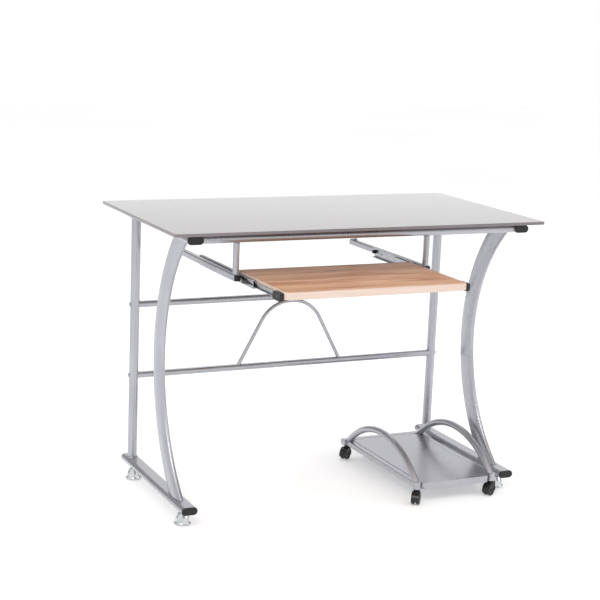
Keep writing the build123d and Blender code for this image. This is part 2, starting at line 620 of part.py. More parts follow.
def stand_rear_bar():
    """Bar across the back of the stand, with a solid slug over each caster stem."""
    (x_left, y), (x_right, _) = stand_corner(-1, 1), stand_corner(1, 1)
    height = DECK_TOP - SOCKET_BOTTOM
    inner = RectangleRounded(REAR_BAR_DEPTH - 2 * ARCH_WALL, height - 2 * ARCH_WALL, REAR_BAR_R - ARCH_WALL)
    hollow = along_x(inner, x_left - REAR_BAR_LIP, x_right + REAR_BAR_LIP, y, SOCKET_BOTTOM + height / 2)
    for x in (x_left, x_right):
        hollow -= along_z(Circle(STEM_RADIUS + 2), SOCKET_BOTTOM, DECK_TOP, x, y)
    bar = stand_rear_envelope() - hollow
    for x in (x_left, x_right):
        bar -= stem_bore(x, y)
    return bar


def stand_caps():
    """Painted caps on the ends of the rear bar."""
    (x_left, y), (x_right, _) = stand_corner(-1, 1), stand_corner(1, 1)
    height = DECK_TOP - SOCKET_BOTTOM
    inset = 2 * (ARCH_WALL + PLUG_CLEARANCE)
    section = RectangleRounded(REAR_BAR_DEPTH, height, REAR_BAR_R)
    spigot = RectangleRounded(REAR_BAR_DEPTH - inset, height - inset, REAR_BAR_R - ARCH_WALL)
    shorter = REAR_BAR_LIP - STEM_RADIUS - CAP_STEM_GAP
    z = SOCKET_BOTTOM + height / 2
    plugs = []
    for x, heading in ((x_left - REAR_BAR_LIP, 90), (x_right + REAR_BAR_LIP, -90)):
        plugs.append(end_plug(section, spigot, x, y, z, heading, shorter))
    return plugs


# ------------------------------------------------------------------ casters
def caster_hood():
    """Hood over two wheels, with the web that holds the axle; its stem stands on Z and it trails to -Y."""
    half = CASTER_WEB / 2 + WHEEL_SIDE_GAP + WHEEL_WIDTH
    inner = WHEEL_RADIUS + HOOD_GAP
    shell = Circle(inner + HOOD_WALL) - Circle(inner)
    hood = along_x(shell, -half, half, -CASTER_TRAIL, WHEEL_RADIUS)
    web = Circle(inner + HOOD_WALL)
    hood += along_x(web, -CASTER_WEB / 2, CASTER_WEB / 2, -CASTER_TRAIL, WHEEL_RADIUS)
    hood -= Pos(0, -CASTER_TRAIL, 0) * Box(4 * half, 4 * WHEEL_RADIUS, 2 * HOOD_MOUTH)
    axle_bore = Circle(AXLE_RADIUS + RUNNING_CLEARANCE)
    hood -= along_x(axle_bore, -half, half, -CASTER_TRAIL, WHEEL_RADIUS)
    neck_top = SOCKET_BOTTOM - SWIVEL_GAP
    neck = along_z(Circle(SOCKET_DIAMETER / 2 - 1), WHEEL_RADIUS + HOOD_MOUTH, neck_top, 0, 0)
    neck -= along_x(Circle(inner), -SOCKET_DIAMETER, SOCKET_DIAMETER, -CASTER_TRAIL, WHEEL_RADIUS)
    stem = along_z(Circle(STEM_RADIUS), neck_top - 1, SOCKET_BOTTOM + STEM_LENGTH, 0, 0)
    return hood + neck + stem


def caster_wheels():
    """Two wheels on one axle, trailing to -Y."""
    inner = CASTER_WEB / 2 + WHEEL_SIDE_GAP
    pair = along_x(Circle(AXLE_RADIUS), -inner - 1, inner + 1, -CASTER_TRAIL, WHEEL_RADIUS)
    for side in SIDES.values():
        near, far = side * inner, side * (inner + WHEEL_WIDTH)
        disc = along_x(Circle(WHEEL_RADIUS), near, far, -CASTER_TRAIL, WHEEL_RADIUS)
        pair += fillet(disc.edges().filter_by(GeomType.CIRCLE), WHEEL_EDGE_R)
    return pair


def at_caster(piece, sign, end):
    """Move a piece built round Z to a caster, turned to where that caster has swivelled."""
    return piece.moved(Location((*stand_corner(sign, end), 0), (0, 0, CASTER_TURN[(sign, end)])))


# ------------------------------------------------------------------- build
os.makedirs("parts", exist_ok=True)

write("glass_top", glass_top())
write("glass_pads", *glass_pads())
sides("top_bar", top_bar)
sides("foot_bar", foot_bar)
sides("rear_post", rear_post)
sides("curved_leg", curved_leg)
write("top_bar_plugs", *bar_plugs(TOP_BAR_Y, TOP_BAR_Z))
write("foot_bar_plugs", *bar_plugs(FOOT_BAR_Y, FOOT_BAR_Z))

for place, y in RAIL_Y.items():
    write(f"{place}_rail", rail(y))
for level, z in CROSSBAR_HEIGHTS.items():
    write(f"{level}_crossbar", crossbar(z))
bolt_heights = CROSSBAR_HEIGHTS.values()
write("crossbar_bolts", *[crossbar_bolt(sign, z) for sign in SIDES.values() for z in bolt_heights])
write("brace", brace())

for end, y in FOOT_Y.items():
    for side, sign in SIDES.items():
        write(f"foot_bell_{end}_{side}", foot_bell(sign * SIDE_X, y))
        write(f"foot_stud_{end}_{side}", foot_stud(sign * SIDE_X, y))
write("weld_nuts", *[weld_nut(sign * SIDE_X, y) for sign in SIDES.values() for y in FOOT_Y.values()])

sides("hanger_bar", hanger_bar)
for place, y in RAIL_Y.items():
    for side, sign in SIDES.items():
        write(f"hanger_post_{place}_{side}", hanger_post(sign, y))
write("hanger_plugs", *hanger_plugs())

sides("slide_outer", slide_outer)
sides("slide_middle", slide_middle)
sides("slide_inner", slide_inner)
write("slide_stops", *[slide_stop(sign) for sign in SIDES.values()])
write("slide_noses", *[slide_nose(sign) for sign in SIDES.values()])
write("hanger_screws", *[hanger_screw(sign, y)
                         for sign in SIDES.values() for y in slide_screw_ys(SLIDE_FRONT)])
write("tray_screws", *[tray_screw(sign, y)
                       for sign in SIDES.values() for y in tray_screw_ys()])
write("tray_board", tray_board())

sides("stand_arch", stand_arch)
sides("stand_side_rail", stand_side_rail)
write("stand_deck", stand_deck())
write("stand_rear_bar", stand_rear_bar())
write("stand_caps", *stand_caps())
for end_name, end in (("front", -1), ("rear", 1)):
    for side, sign in SIDES.items():
        write(f"caster_hood_{end_name}_{side}", at_caster(caster_hood(), sign, end))
        write(f"caster_wheels_{end_name}_{side}", at_caster(caster_wheels(), sign, end))
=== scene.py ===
"""Glass computer desk with a keyboard tray and a rolling computer stand.

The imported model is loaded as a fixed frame.  The operators below give its
nodes their finishes and model the pieces that need more than a plain solid.
Everything is in metres, +X to the right, +Y to the back, +Z up.
"""
import json
import math

import bmesh
import bpy
from bpy.props import FloatProperty, FloatVectorProperty, PointerProperty
from mathutils import Matrix, Quaternion, Vector


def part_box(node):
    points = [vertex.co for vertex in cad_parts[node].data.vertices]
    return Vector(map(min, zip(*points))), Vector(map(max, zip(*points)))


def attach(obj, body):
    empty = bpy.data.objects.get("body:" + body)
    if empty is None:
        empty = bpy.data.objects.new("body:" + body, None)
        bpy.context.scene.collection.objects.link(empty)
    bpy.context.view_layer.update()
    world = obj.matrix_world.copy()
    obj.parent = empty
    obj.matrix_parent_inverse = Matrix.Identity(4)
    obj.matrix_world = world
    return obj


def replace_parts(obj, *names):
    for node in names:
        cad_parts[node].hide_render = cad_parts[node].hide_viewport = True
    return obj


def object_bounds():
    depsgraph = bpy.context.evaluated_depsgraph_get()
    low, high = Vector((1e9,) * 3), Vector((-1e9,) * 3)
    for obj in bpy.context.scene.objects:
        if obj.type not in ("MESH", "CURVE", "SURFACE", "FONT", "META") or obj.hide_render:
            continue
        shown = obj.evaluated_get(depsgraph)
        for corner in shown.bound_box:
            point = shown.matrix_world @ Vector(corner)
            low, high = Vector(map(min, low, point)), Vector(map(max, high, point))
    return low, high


bl_info = {
    "name": "Glass Computer Desk",
    "version": (1, 0, 0),
    "blender": (4, 5, 0),
    "location": "3D View > Sidebar > Desk",
    "description": "Finishes and detail pieces for a glass computer desk",
    "category": "Object",
}

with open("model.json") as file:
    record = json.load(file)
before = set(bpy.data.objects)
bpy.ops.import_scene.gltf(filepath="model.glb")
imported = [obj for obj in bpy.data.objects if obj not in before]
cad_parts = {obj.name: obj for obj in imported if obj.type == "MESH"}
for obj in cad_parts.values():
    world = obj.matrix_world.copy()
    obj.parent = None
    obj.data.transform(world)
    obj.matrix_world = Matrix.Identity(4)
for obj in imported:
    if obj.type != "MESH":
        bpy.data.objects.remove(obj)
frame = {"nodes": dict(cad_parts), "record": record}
CAD_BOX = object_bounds()
MM = 0.001
SIDES = ("left", "right")
ENDS = ("front", "rear")
RIM_REACH = MM / 10         # edges this near a board's face belong to its rim

FLOOR_SIZE = 24.0
CAMERA_AIM = Vector((-0.0559, 0.1035, 0.5097))
SENSOR_WIDTH = 36.0         # millimetres
# soft boxes: place, size across and power in watts
LIGHTS = {
    "key": ((-2.2, -2.6, 3.2), 1.6, 45),
    "fill": ((3.2, -1.8, 1.8), 1.6, 18),
    "top": ((0.3, 1.2, 3.4), 2.0, 25),
}
# brightness of the surroundings: 0 is behind the camera, 0.5 at its sides, 1 straight ahead
WORLD_BANDS = ((0.0, 1.0), (0.4, 0.95), (0.62, 0.5), (0.93, 0.38), (0.955, 0.55), (0.975, 1.0))

# millimetres
STUD_RADIUS = 4.0
THREAD_PITCH = 1.25
NUT_HEIGHT = 5.0
# length of each slide's thin black sheet of painted shadow
SHADOW_SHEET_LENGTH = 70.0
BALL_RADIUS = 1.5
RIVET_DEPTH = 2.2           # behind the nose's face

# (radius, height) outlines to spin; first two as shares of the pad's radius and thickness and of
# the weld's leg, the others in millimetres
PAD_PROFILE = ((0, 0), (0.8, 0), (0.96, 0.25), (1, 0.6), (0.98, 1), (0, 1))
WELD_PROFILE = ((-0.3, 0.6), (1.0, 0.6), (0.94, 0), (0.68, -0.26), (0.35, -0.6), (0.09, -0.94),
                (-0.3, -1.0), (-0.3, 0.6))
RIVET_PROFILE = ((0, 0), (3.6, 0), (3.6, 0.3), (2.9, 0.9), (2.2, 0.9), (1.6, 0.3), (0, 0.2))
# one wheel from its hub cap over the recessed face and the tread, back to the web
WHEEL_PROFILE = ((0, 10.2), (3.0, 10.2), (3.6, 9.6), (3.8, 8.4), (5.2, 8.0), (10.6, 8.2), (11.4, 9.0),
                 (12.2, 10.4), (13.6, 10.7), (15.0, 10.2), (15.8, 9.0), (16.0, 7.4), (15.85, 6.9),
                 (15.85, 6.3), (16.0, 5.8), (15.8, 4.0), (15.0, 3.0), (13.6, 2.7), (0, 2.7))
AXLE_PROFILE = ((0, -3.5), (2.5, -3.5), (2.5, 0), (2.5, 3.5), (0, 3.5))


# ---------------------------------------------------------------- colours
def srgb(hex_colour):
    """An sRGB hex colour as linear red, green and blue."""
    parts = [int(hex_colour[i:i + 2], 16) / 255 for i in (0, 2, 4)]
    return tuple(p / 12.92 if p <= 0.04045 else ((p + 0.055) / 1.055) ** 2.4 for p in parts)


def rgba(colour):
    return (*colour[:3], 1.0)


class DeskFinishes(bpy.types.PropertyGroup):
    """Colours of the desk's finishes"""
    glass: FloatVectorProperty(name="Glass", description="Satin tempered glass", subtype="COLOR",
                               default=srgb("7E7477"), min=0, max=1)
    silver: FloatVectorProperty(name="Silver", description="Powder coat of the frame", subtype="COLOR",
                                default=srgb("B2B3B9"), min=0, max=1)
    veneer: FloatVectorProperty(name="Veneer", description="Lighter tone of the maple", subtype="COLOR",
                                default=srgb("C58D62"), min=0, max=1)
    veneer_grain: FloatVectorProperty(name="Grain", description="Darker tone of the maple", subtype="COLOR",
                                      default=srgb("9C5F39"), min=0, max=1)
    # pale cream of the band, partly painted highlight that stands in for light on the tray's front edge
    edge_band: FloatVectorProperty(name="Edge band", description="Band on the tray's edge", subtype="COLOR",
                                   default=srgb("E0CABC"), min=0, max=1)
    black: FloatVectorProperty(name="Black plastic", description="Plugs, wheels and stops", subtype="COLOR",
                               default=srgb("0E0D0F"), min=0, max=1)


class DeskSizes(bpy.types.PropertyGroup):
    """Sizes of the modelled details"""
    glass_corner: FloatProperty(name="Glass corner", description="Corner radius of the glass", unit="LENGTH",
                                default=8 * MM)
    glass_arris: FloatProperty(name="Glass arris", description="Ground and polished edge of the glass",
                               unit="LENGTH", default=1.4 * MM)
    pad_diameter: FloatProperty(name="Pad", description="Diameter of the pads under the glass", unit="LENGTH",
                                default=22 * MM)
    pad_inset: FloatProperty(name="Pad inset", description="From the ends of the top bars", unit="LENGTH",
                             default=60 * MM)
    tray_corner: FloatProperty(name="Tray corner", description="Radius of the tray's front corners",
                               unit="LENGTH", default=16 * MM)
    tray_round: FloatProperty(name="Tray edge", description="Rounding of the tray's edge band", unit="LENGTH",
                              default=2 * MM)


class DeskStage(bpy.types.PropertyGroup):
    """Camera and light"""
    azimuth: FloatProperty(name="Azimuth", description="Camera's turn round the desk, in degrees",
                           default=-25.65)
    elevation: FloatProperty(name="Elevation", description="Camera's height above the horizon, in degrees",
                             default=11.76)
    roll: FloatProperty(name="Roll", description="Camera's tilt about its own axis, in degrees", default=2.36)
    distance: FloatProperty(name="Distance", description="Camera to the point it looks at",
                            subtype="DISTANCE", unit="LENGTH", default=4.0465)
    lens: FloatProperty(name="Lens", description="Focal length on a 36 mm sensor", default=90.08)


# --------------------------------------------------------------- node maker
def add(tree, kind, links=None, **settings):
    """Add a shader node; settings are attributes or input values, links are {input: socket}."""
    made = tree.nodes.new(kind)
    for key, value in settings.items():
        if hasattr(made, key):
            setattr(made, key, value)
        else:
            made.inputs[key.replace("_", " ")].default_value = value
    for name, source in (links or {}).items():
        tree.links.new(source, made.inputs[name])
    return made


def ramp(tree, source, stops):
    """A colour ramp between (position, colour) stops."""
    made = add(tree, "ShaderNodeValToRGB", {"Fac": source})
    elements = made.color_ramp.elements
    while len(elements) < len(stops):
        elements.new(0.5)
    for element, (place, colour) in zip(elements, stops):
        element.position = place
        element.color = colour if len(colour) == 4 else rgba(colour)
    return made.outputs["Color"]


def grey(level):
    return (level, level, level, 1.0)


def material(name):
    """A new material with a Principled shader: (material, tree, shader, object coordinates)."""
    made = bpy.data.materials.new(name)
    made.use_nodes = True
    tree = made.node_tree
    shader = tree.nodes["Principled BSDF"]
    place = add(tree, "ShaderNodeTexCoord").outputs["Object"]
    return made, tree, shader, place


def socket(shader, **values):
    for key, value in values.items():
        shader.inputs[key.replace("_", " ")].default_value = value


def per_metre(size_mm):
    """Noise scale that puts one feature in this many millimetres."""
    return 1000.0 / size_mm


def bump(tree, shader, height, depth_mm, strength):
    made = add(tree, "ShaderNodeBump", {"Height": height}, Strength=strength, Distance=depth_mm * MM)
    tree.links.new(made.outputs["Normal"], shader.inputs["Normal"])


# ---------------------------------------------------------------- materials
def tempered_glass(colours):
    """Tempered float glass with an etched underside: glossy above, milky in its depth."""
    made, tree, shader, place = material("tempered_satin_glass")
    haze = add(tree, "ShaderNodeTexNoise", {"Vector": place}, Scale=per_metre(260), Detail=3.0)
    tone = ramp(tree, haze.outputs["Fac"], ((0.3, colours.glass), (0.7, srgb("887E82"))))
    tree.links.new(tone, shader.inputs["Base Color"])
    socket(shader, IOR=1.52, Roughness=0.28, Transmission_Weight=0.35, Coat_Weight=1.0,
           Coat_Roughness=0.02, Coat_IOR=1.52)
    return made


def silver_coat(colours):
    """Silver polyester powder coat: satin, with fine metal flake and a slight orange peel."""
    made, tree, shader, place = material("silver_powder_coat")
    flake = add(tree, "ShaderNodeTexNoise", {"Vector": place}, Scale=per_metre(1.2), Detail=2.0)
    cloud = add(tree, "ShaderNodeTexNoise", {"Vector": place}, Scale=per_metre(90), Detail=4.0)
    mixed = add(tree, "ShaderNodeMath", {0: flake.outputs["Fac"], 1: cloud.outputs["Fac"]},
                operation="MULTIPLY")
    silver = Vector(colours.silver)
    tone = ramp(tree, mixed.outputs[0], ((0.1, tuple(silver * 0.86)), (0.45, tuple(silver * 1.08))))
    tree.links.new(tone, shader.inputs["Base Color"])
    gloss = ramp(tree, cloud.outputs["Fac"], ((0.3, grey(0.24)), (0.7, grey(0.33))))
    tree.links.new(gloss, shader.inputs["Roughness"])
    peel = add(tree, "ShaderNodeTexNoise", {"Vector": place}, Scale=per_metre(2.5), Detail=1.0)
    bump(tree, shader, peel.outputs["Fac"], 0.25, 0.12)
    socket(shader, Metallic=0.8, Coat_Weight=0.3, Coat_Roughness=0.15)
    return made


def plug_plastic(colours):
    """Injection-moulded polyethylene with a fine spark-eroded texture."""
    made, tree, shader, place = material("moulded_polyethylene")
    grain = add(tree, "ShaderNodeTexNoise", {"Vector": place}, Scale=per_metre(0.9), Detail=2.0)
    tone = ramp(tree, grain.outputs["Fac"], ((0.3, tuple(Vector(colours.black) * 0.7)), (0.8, colours.black)))
    tree.links.new(tone, shader.inputs["Base Color"])
    gloss = ramp(tree, grain.outputs["Fac"], ((0.3, grey(0.38)), (0.7, grey(0.52))))
    tree.links.new(gloss, shader.inputs["Roughness"])
    bump(tree, shader, grain.outputs["Fac"], 0.15, 0.25)
    return made


def chrome_plate():
    """Bright chrome over turned steel: mirror-like, with faint polishing haze."""
    made, tree, shader, place = material("chrome_plate")
    haze = add(tree, "ShaderNodeTexNoise", {"Vector": place}, Scale=per_metre(14), Detail=5.0)
    gloss = ramp(tree, haze.outputs["Fac"], ((0.35, grey(0.05)), (0.75, grey(0.14))))
    tree.links.new(gloss, shader.inputs["Roughness"])
    tone = ramp(tree, haze.outputs["Fac"], ((0.3, srgb("DCDEE0")), (0.8, srgb("C4C7CB"))))
    tree.links.new(tone, shader.inputs["Base Color"])
    socket(shader, Metallic=1.0)
    return made


def zinc_steel():
    """Roll-formed steel strip, zinc-plated: fine lines along the rolling direction, grey-blue patches."""
    made, tree, shader, place = material("zinc_plated_steel")
    along = add(tree, "ShaderNodeMapping", {"Vector": place},
                Scale=(per_metre(1.0), per_metre(40), per_metre(1.0)))
    lines = add(tree, "ShaderNodeTexNoise", {"Vector": along.outputs["Vector"]}, Scale=1.0, Detail=3.0)
    patch = add(tree, "ShaderNodeTexNoise", {"Vector": place}, Scale=per_metre(9), Detail=3.0)
    tone = ramp(tree, patch.outputs["Fac"], ((0.35, srgb("A9ACB1")), (0.65, srgb("C3C4C6"))))
    tree.links.new(tone, shader.inputs["Base Color"])
    gloss = ramp(tree, lines.outputs["Fac"], ((0.3, grey(0.24)), (0.7, grey(0.42))))
    tree.links.new(gloss, shader.inputs["Roughness"])
    bump(tree, shader, lines.outputs["Fac"], 0.1, 0.15)
    socket(shader, Metallic=1.0)
    return made


def maple_veneer(colours):
    """Sliced maple veneer under satin lacquer: long soft figure along X with fine pores."""
    made, tree, shader, place = material("maple_veneer")
    board = add(tree, "ShaderNodeMapping", {"Vector": place},
                Scale=(per_metre(420), per_metre(34), per_metre(34)))
    figure = add(tree, "ShaderNodeTexNoise", {"Vector": board.outputs["Vector"]}, Scale=1.0, Detail=6.0,
                 Roughness=0.55, Distortion=1.2)
    fibre_place = add(tree, "ShaderNodeMapping", {"Vector": place},
                      Scale=(per_metre(60), per_metre(1.6), per_metre(1.6)))
    fibre = add(tree, "ShaderNodeTexNoise", {"Vector": fibre_place.outputs["Vector"]}, Scale=1.0, Detail=4.0)
    both = add(tree, "ShaderNodeMix", {"A": figure.outputs["Fac"], "B": fibre.outputs["Fac"]}, Factor=0.35)
    stops = ((0.38, colours.veneer_grain), (0.5, colours.veneer), (0.62, srgb("D8A985")))
    tone = ramp(tree, both.outputs["Result"], stops)
    tree.links.new(tone, shader.inputs["Base Color"])
    bump(tree, shader, fibre.outputs["Fac"], 0.12, 0.2)
    socket(shader, Roughness=0.42, Coat_Weight=0.15, Coat_Roughness=0.3)
    return made


def edge_band(colours):
    """Cream melamine edge band, rounded over, with a faint woodgrain print; the cream, paler than the maple,
    is partly painted highlight for the lit front edge.
    """
    made, tree, shader, place = material("melamine_edge_band")
    print_place = add(tree, "ShaderNodeMapping", {"Vector": place},
                      Scale=(per_metre(70), per_metre(70), per_metre(1.8)))
    grain = add(tree, "ShaderNodeTexNoise", {"Vector": print_place.outputs["Vector"]}, Scale=1.0, Detail=4.0)
    darker = tuple(Vector(colours.edge_band) * 0.86)
    tone = ramp(tree, grain.outputs["Fac"], ((0.3, darker), (0.7, colours.edge_band)))
    tree.links.new(tone, shader.inputs["Base Color"])
    bump(tree, shader, grain.outputs["Fac"], 0.08, 0.12)
    socket(shader, Roughness=0.4)
    return made


def moulded_rubber(colours):
    """Moulded rubber: matt, with a dusty bloom."""
    made, tree, shader, place = material("moulded_rubber")
    bloom = add(tree, "ShaderNodeTexNoise", {"Vector": place}, Scale=per_metre(5), Detail=4.0)
    tone = ramp(tree, bloom.outputs["Fac"], ((0.35, colours.black), (0.8, srgb("2B2A2C"))))
    tree.links.new(tone, shader.inputs["Base Color"])
    bump(tree, shader, bloom.outputs["Fac"], 0.1, 0.2)
    socket(shader, Roughness=0.72)
    return made


def caster_nylon(colours):
    """Moulded nylon of the casters: glossier than the plugs, with scuffs from the floor."""
    made, tree, shader, place = material("moulded_nylon")
    scuff = add(tree, "ShaderNodeTexNoise", {"Vector": place}, Scale=per_metre(3), Detail=6.0, Roughness=0.7)
    tone = ramp(tree, scuff.outputs["Fac"], ((0.55, colours.black), (0.82, srgb("3A383A"))))
    tree.links.new(tone, shader.inputs["Base Color"])
    gloss = ramp(tree, scuff.outputs["Fac"], ((0.4, grey(0.24)), (0.7, grey(0.45))))
    tree.links.new(gloss, shader.inputs["Roughness"])
    return made


def clear_vinyl():
    """Soft clear vinyl of the pads under the glass."""
    made, tree, shader, place = material("clear_vinyl")
    haze = add(tree, "ShaderNodeTexNoise", {"Vector": place}, Scale=per_metre(4), Detail=3.0)
    tone = ramp(tree, haze.outputs["Fac"], ((0.3, srgb("E3E8E8")), (0.7, srgb("D2D8DA"))))
    tree.links.new(tone, shader.inputs["Base Color"])
    socket(shader, Roughness=0.2, Transmission_Weight=0.7, IOR=1.5)
    return made


def make_materials(colours):
    return {
        "glass": tempered_glass(colours),
        "frame_paint": silver_coat(colours),
        "black_plastic": plug_plastic(colours),
        "chrome": chrome_plate(),
        "zinc_steel": zinc_steel(),
        "maple": maple_veneer(colours),
        "edge_band": edge_band(colours),
        "rubber": moulded_rubber(colours),
        "caster_plastic": caster_nylon(colours),
        "clear_pad": clear_vinyl(),
    }


MATERIALS = {}


class DESK_OT_finishes(bpy.types.Operator):
    """Give every node of the frame the finish of its slot"""
    bl_idname = "desk.finishes"
    bl_label = "Finishes"

    def execute(self, context):
        MATERIALS.update(make_materials(context.scene.desk_finishes))
        for entry in frame["record"]["subparts"]:
            node = frame["nodes"][entry["node"]]
            node.data.materials.clear()
            node.data.materials.append(MATERIALS[entry["material_slot"]])
        return {"FINISHED"}


# ------------------------------------------------------------ modelling helpers
def clear_selection():
    if bpy.context.object and bpy.context.object.mode != "OBJECT":
        bpy.ops.object.mode_set(mode="OBJECT")
    bpy.ops.object.select_all(action="DESELECT")


def pick(kind, test):
    """Select the faces or edges of the edited mesh that pass a test."""
    bpy.ops.mesh.select_mode(type={"faces": "FACE", "edges": "EDGE"}[kind])
    bpy.ops.mesh.select_all(action="DESELECT")
    mesh = bmesh.from_edit_mesh(bpy.context.object.data)
    for item in getattr(mesh, kind):
        if test(item):
            item.select_set(True)
    mesh.select_flush_mode()
    bmesh.update_edit_mesh(bpy.context.object.data)


def middle_of(edge):
    return (edge.verts[0].co + edge.verts[1].co) / 2


def upright(edge):
    step = edge.verts[0].co - edge.verts[1].co
    return abs(step.z) > 0.999 * step.length


def pick_rims(low, high):
    """Select the edges round the upper and lower faces of a board."""
    pick("edges", lambda edge: not upright(edge)
         and not low.z + RIM_REACH < middle_of(edge).z < high.z - RIM_REACH)


def millimetres(profile):
    return [(radius * MM, height * MM) for radius, height in profile]


def block(name, low, high):
    """A box between two corners, left in edit mode to be shaped."""
    clear_selection()
    low, high = Vector(low), Vector(high)
    bpy.ops.mesh.primitive_cube_add(size=1)
    piece = bpy.context.object
    piece.name = name
    bpy.ops.object.mode_set(mode="EDIT")
    bpy.ops.transform.resize(value=high - low)
    bpy.ops.transform.translate(value=(low + high) / 2)
    return piece


def turned(name, profile, middle, axis=(0, 0, 1), steps=64):
    """A piece turned on a lathe: (radius, height) pairs spun about an axis through a point."""
    clear_selection()
    axis = Vector(axis).normalized()
    out = Vector((1, 0, 0)) if abs(axis.z) > 0.5 else Vector((0, 0, 1))
    spots = [Vector(middle) + out * radius + axis * height for radius, height in profile]
    bpy.ops.mesh.primitive_plane_add(size=MM)
    piece = bpy.context.object
    piece.name = name
    bpy.ops.object.mode_set(mode="EDIT")
    bpy.ops.mesh.select_mode(type="VERT")
    bpy.ops.mesh.select_all(action="SELECT")
    bpy.ops.mesh.merge(type="CENTER")
    bpy.ops.transform.translate(value=spots[0])
    for before, after in zip(spots, spots[1:]):
        bpy.ops.mesh.extrude_region_move(TRANSFORM_OT_translate={"value": after - before})
    bpy.ops.mesh.select_all(action="SELECT")
    bpy.ops.mesh.spin(steps=steps, angle=2 * math.pi, center=middle, axis=axis)
    # the spin doubles its seam and its poles
    bpy.ops.mesh.select_all(action="SELECT")
    bpy.ops.mesh.remove_doubles(threshold=0.01 * MM)
    bpy.ops.mesh.normals_make_consistent(inside=False)
    return piece


def finish_piece(piece, body, slot, angle=35):
    """Leave edit mode, shade, give the slot's finish unless it has one, and ride on a body."""
    clear_selection()
    piece.select_set(True)
    bpy.context.view_layer.objects.active = piece
    bpy.ops.object.shade_smooth_by_angle(angle=math.radians(angle))
    if not piece.data.materials:
        piece.data.materials.append(MATERIALS[slot])
    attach(piece, body)
    return piece


def copy_of(piece, name, shift):
    """A copy with its own mesh, shifted in its mesh; taken before the piece rides on a body."""
    clear_selection()
    twin = piece.copy()
    twin.data = piece.data.copy()
    twin.name = name
    bpy.context.collection.objects.link(twin)
    twin.data.transform(Matrix.Translation(shift))
    return twin


def joined(name, pieces):
    """Several pieces made one."""
    clear_selection()
    for piece in pieces:
        piece.select_set(True)
    bpy.context.view_layer.objects.active = pieces[0]
    bpy.ops.object.join()
    pieces[0].name = name
    return pieces[0]


def repeated(name, profile, spots, steps):
    """One turned piece copied to several places and made one."""
    first = turned(f"{name}_first", profile, spots[0], steps=steps)
    others = [copy_of(first, f"{name}_{i}", Vector(spot) - Vector(spots[0]))
              for i, spot in enumerate(spots[1:])]
    return joined(name, [first, *others])


# --------------------------------------------------------------------- pieces
class DESK_OT_glass(bpy.types.Operator):
    """Glass sheet with rounded corners and a ground, polished edge"""
    bl_idname = "desk.glass"
    bl_label = "Glass sheet"

    def execute(self, context):
        sizes = context.scene.desk_sizes
        low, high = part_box("glass_top")
        sheet = block("glass_sheet", low, high)
        pick("edges", upright)
        bpy.ops.mesh.bevel(offset=sizes.glass_corner, segments=10, profile=0.5)
        pick_rims(low, high)
        bpy.ops.mesh.bevel(offset=sizes.glass_arris, segments=4, profile=0.6)
        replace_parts(finish_piece(sheet, "desk", "glass"), "glass_top")
        return {"FINISHED"}


class DESK_OT_pads(bpy.types.Operator):
    """Clear vinyl pads between the glass and the bars, crowned like lenses"""
    bl_idname = "desk.pads"
    bl_label = "Glass pads"

    def execute(self, context):
        sizes = context.scene.desk_sizes
        low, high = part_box("glass_pads")
        radius, thick = sizes.pad_diameter / 2, high.z - low.z
        profile = [(radius * out, thick * rise) for out, rise in PAD_PROFILE]
        spots = []
        for side in SIDES:
            bar_low, bar_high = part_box(f"top_bar_{side}")
            x = (bar_low.x + bar_high.x) / 2
            spots += [(x, bar_low.y + sizes.pad_inset, low.z), (x, bar_high.y - sizes.pad_inset, low.z)]
        for rail in ("front_rail", "rear_rail"):
            rail_low, rail_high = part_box(rail)
            spots.append((0.0, (rail_low.y + rail_high.y) / 2, low.z))
        pads = repeated("vinyl_pads", profile, spots, steps=40)
        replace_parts(finish_piece(pads, "desk", "clear_pad"), "glass_pads")
        return {"FINISHED"}


class DESK_OT_tray(bpy.types.Operator):
    """Tray board of veneered chipboard, its front corners rounded and its edges banded in a paler tone that
    is partly painted highlight for the lit front edge
    """
    bl_idname = "desk.tray"
    bl_label = "Tray board"

    def execute(self, context):
        sizes = context.scene.desk_sizes
        low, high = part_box("tray_board")
        board = block("tray_panel", low, high)
        pick("edges", lambda edge: upright(edge) and middle_of(edge).y < (low.y + high.y) / 2)
        bpy.ops.mesh.bevel(offset=sizes.tray_corner, segments=12, profile=0.5)
        board.data.materials.append(MATERIALS["maple"])
        board.data.materials.append(MATERIALS["edge_band"])
        # the side faces, and the rims rounded below, take the pale band colour: partly painted highlight for
        # the lit front edge
        pick("faces", lambda face: abs(face.normal.z) < 0.5)
        board.active_material_index = 1
        bpy.ops.object.material_slot_assign()
        pick_rims(low, high)
        bpy.ops.mesh.bevel(offset=sizes.tray_round, segments=4, profile=0.6, material=1)
        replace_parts(finish_piece(board, "tray", "maple"), "tray_board")
        return {"FINISHED"}


def bell_profile(reach, tall):
    """Turned bell: a rolled rim over the sole, a straight flank and a rounded shoulder."""
    return [(0, 2.6), (reach - 2.4, 2.6), (reach - 2.0, 1.6), (reach - 1.0, 1.4), (reach - 0.2, 2.2),
            (reach, 3.2), (reach - 0.4, 4.6), (reach - 1.4, 5.4), (reach - 1.9, 6.4), (reach - 3.4, 11),
            (reach * 0.8, 16), (reach * 0.74, 20), (13.4, 24.5), (12.6, tall - 1.6), (11.8, tall - 0.4),
            (10.6, tall), (0, tall)]


def sole_profile(reach):
    """Rubber sole set into the bell."""
    return [(0, 0), (reach - 3.6, 0), (reach - 2.6, 0.8), (reach - 2.4, 2.6), (0, 2.6)]


def thread_profile(start, end):
    """Ridges of a stud's thread, one for each pitch, drawn as rings."""
    core = STUD_RADIUS - 0.6
    points = [(core, start)]
    for turn in range(int((end - start) / THREAD_PITCH)):
        base = start + turn * THREAD_PITCH
        points += [(STUD_RADIUS, base + 0.15), (STUD_RADIUS + 0.55, base + THREAD_PITCH / 2),
                   (STUD_RADIUS, base + THREAD_PITCH - 0.15)]
    return [*points, (core, end), (core, start)]


